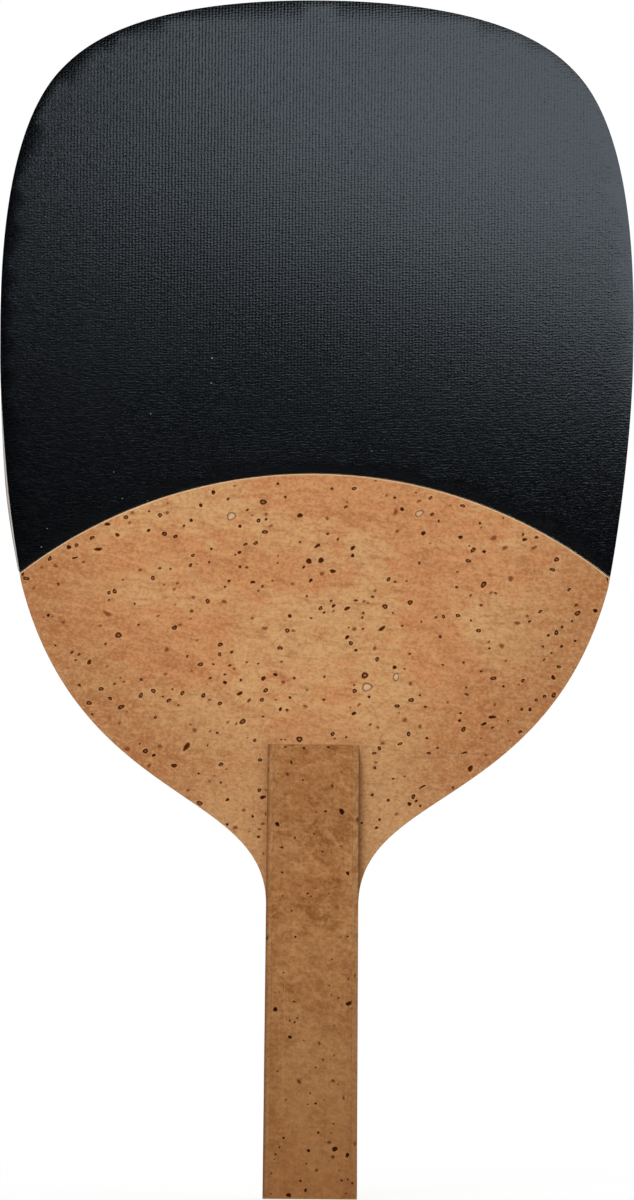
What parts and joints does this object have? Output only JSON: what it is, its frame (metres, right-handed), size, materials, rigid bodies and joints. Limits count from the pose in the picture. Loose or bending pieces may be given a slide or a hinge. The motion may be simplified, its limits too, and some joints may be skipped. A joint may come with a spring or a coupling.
{
  "type": "table tennis racket",
  "caption": "Square-gripped penhold table tennis racket: smooth black rubber over sponge on one face, a cork sheet below it, a laminated wooden blade and a cork-faced grip.",
  "frame": {"origin": "middle of the blade's core at the butt end, the flat face on which the racket stands", "axes": "+Z from the butt to the tip, -Y out of the playing face, +X to the right of a person who looks at the playing face"},
  "size_m": [0.1358, 0.0171, 0.257],
  "materials": {
    "face_wood": "fine sanded straight-grained softwood",
    "cross_wood": "raw cross-grained veneer edge",
    "core_wood": "raw light softwood edge",
    "block_wood": "sanded softwood",
    "sheet_cork": "smooth sealed cork, tan with dark pores",
    "grip_cork": "handled cork, browner, with dark pores",
    "rubber": "smooth black rubber with a fine cloth imprint, soft satin sheen",
    "sponge": "fine pale foam, matt"
  },
  "bodies": {
    "root": {"core_ply": "core_wood", "front_cross_ply": "cross_wood", "back_cross_ply": "cross_wood", "front_face_ply": "face_wood", "back_face_ply": "face_wood", "sponge_sheet": "sponge", "rubber_topsheet": "rubber", "cork_sheet": "sheet_cork", "grip_block": "block_wood", "grip_face_cork": "grip_cork", "grip_left_cork": "grip_cork", "grip_right_cork": "grip_cork", "back_grip_block": "block_wood", "back_grip_cork": "grip_cork"}
  },
  "joints": []
}
